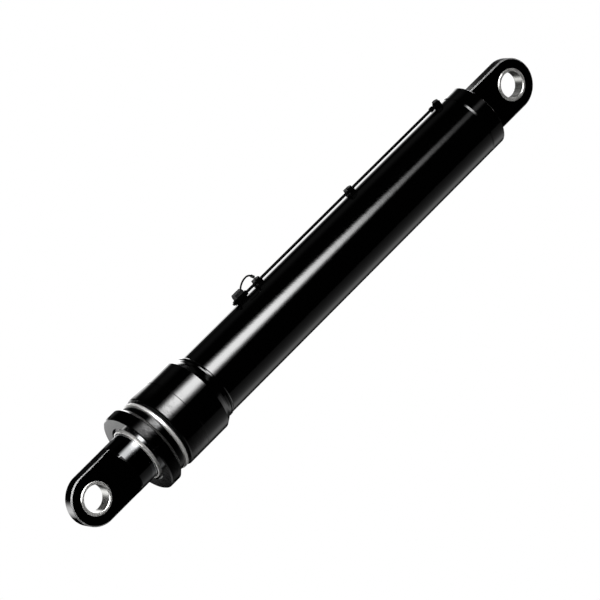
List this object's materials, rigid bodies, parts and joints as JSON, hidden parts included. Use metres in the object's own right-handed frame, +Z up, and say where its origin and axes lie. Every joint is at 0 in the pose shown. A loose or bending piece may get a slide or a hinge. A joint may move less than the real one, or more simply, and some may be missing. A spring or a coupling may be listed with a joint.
{
  "type": "hydraulic cylinder",
  "caption": "Welded hydraulic lift cylinder with a thick chromed rod, flanged gland, pin eyes with steel bushings at both ends and a thin bleed line on top of the barrel.",
  "frame": {"origin": "centre of the cap-end pin bore, cylinder fully retracted", "axes": "+X along the cylinder axis towards the rod end, +Y along the cap-end pin, +Z up through the bleed line on top of the barrel"},
  "size_m": [1.125, 0.158, 0.1611],
  "materials": {
    "black_paint": "gloss black enamel over steel, slight orange peel",
    "chrome_rod": "hard chrome, polished",
    "bright_steel": "machined, satin",
    "black_rubber": "matte",
    "seal_plastic": "moulded polyurethane and filled nylon"
  },
  "bodies": {
    "barrel": {"barrel_tube": "black_paint", "head_sleeve": "black_paint", "head_weld": "black_paint", "head_ring": "black_paint", "gland": "black_paint", "lock_ring": "bright_steel", "dust_oring": "black_rubber", "gland_oring": "black_rubber", "gland_backup_ring": "seal_plastic", "rod_guide_rings": "seal_plastic", "buffer_seal": "seal_plastic", "rod_seal": "seal_plastic", "wiper_case": "bright_steel", "wiper_lip": "black_rubber", "end_cap": "black_paint", "cap_weld": "black_paint", "cap_eye": "black_paint", "cap_eye_weld": "black_paint", "cap_bushing": "bright_steel", "port_boss": "black_paint", "port_weld": "black_paint", "banjo_boss": "black_paint", "banjo": "black_paint", "banjo_bolt": "black_paint", "banjo_washers": "black_paint", "bleed_line": "black_paint", "line_nuts": "black_paint", "clamp_pads": "black_paint", "line_clamps": "black_paint", "clamp_bolts": "black_paint", "block_pad": "black_paint", "bleed_block": "black_paint", "bleed_spout": "black_paint", "spout_cap": "black_rubber"},
    "piston_rings": {"piston_seal": "seal_plastic", "piston_guide_rings": "seal_plastic"},
    "rod": {"rod": "chrome_rod", "rod_eye": "black_paint", "rod_bushing": "bright_steel", "piston": "bright_steel", "piston_oring": "black_rubber", "piston_nut": "bright_steel", "nut_set_screw": "bright_steel"},
    "bleed_screw": {"bleed_screw": "black_paint"}
  },
  "joints": [
    {"name": "rod_slide", "type": "slide", "parent": "barrel", "child": "piston_rings", "axis": [1, 0, 0], "range_m": [0, 0.62]},
    {"name": "rod_spin", "type": "hinge", "parent": "piston_rings", "child": "rod", "pos_m": [0, 0, 0], "axis": [1, 0, 0], "continuous": true},
    {"name": "bleed_screw_turn", "type": "hinge", "parent": "barrel", "child": "bleed_screw", "pos_m": [0.6375, 0, 0.066], "axis": [1, 0, 0], "range_deg": [0, 180]}
  ]
}
